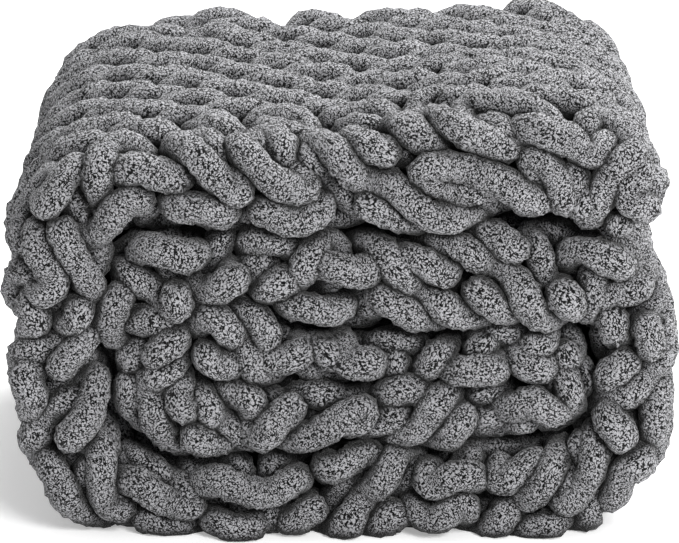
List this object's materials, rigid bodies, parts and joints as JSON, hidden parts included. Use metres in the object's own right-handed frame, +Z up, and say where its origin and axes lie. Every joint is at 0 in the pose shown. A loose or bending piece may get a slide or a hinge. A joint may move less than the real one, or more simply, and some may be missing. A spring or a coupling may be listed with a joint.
{
  "type": "rolled chunky knit blanket",
  "caption": "A throw of very thick grey chenille knit, folded to a band and rolled into a soft bundle that lies on its side, its spiral of turns showing at the ends.",
  "frame": {"origin": "middle of the bundle's footprint, on the surface that it rests on", "axes": "+Z up, +X to the right as seen from the front end, +Y along the roll's axis, from the front end to the back end"},
  "size_m": [0.3908, 0.3556, 0.2599],
  "materials": {
    "chenille": "matte, short dense pile"
  },
  "bodies": {
    "root": {"blanket": "chenille"}
  },
  "joints": []
}
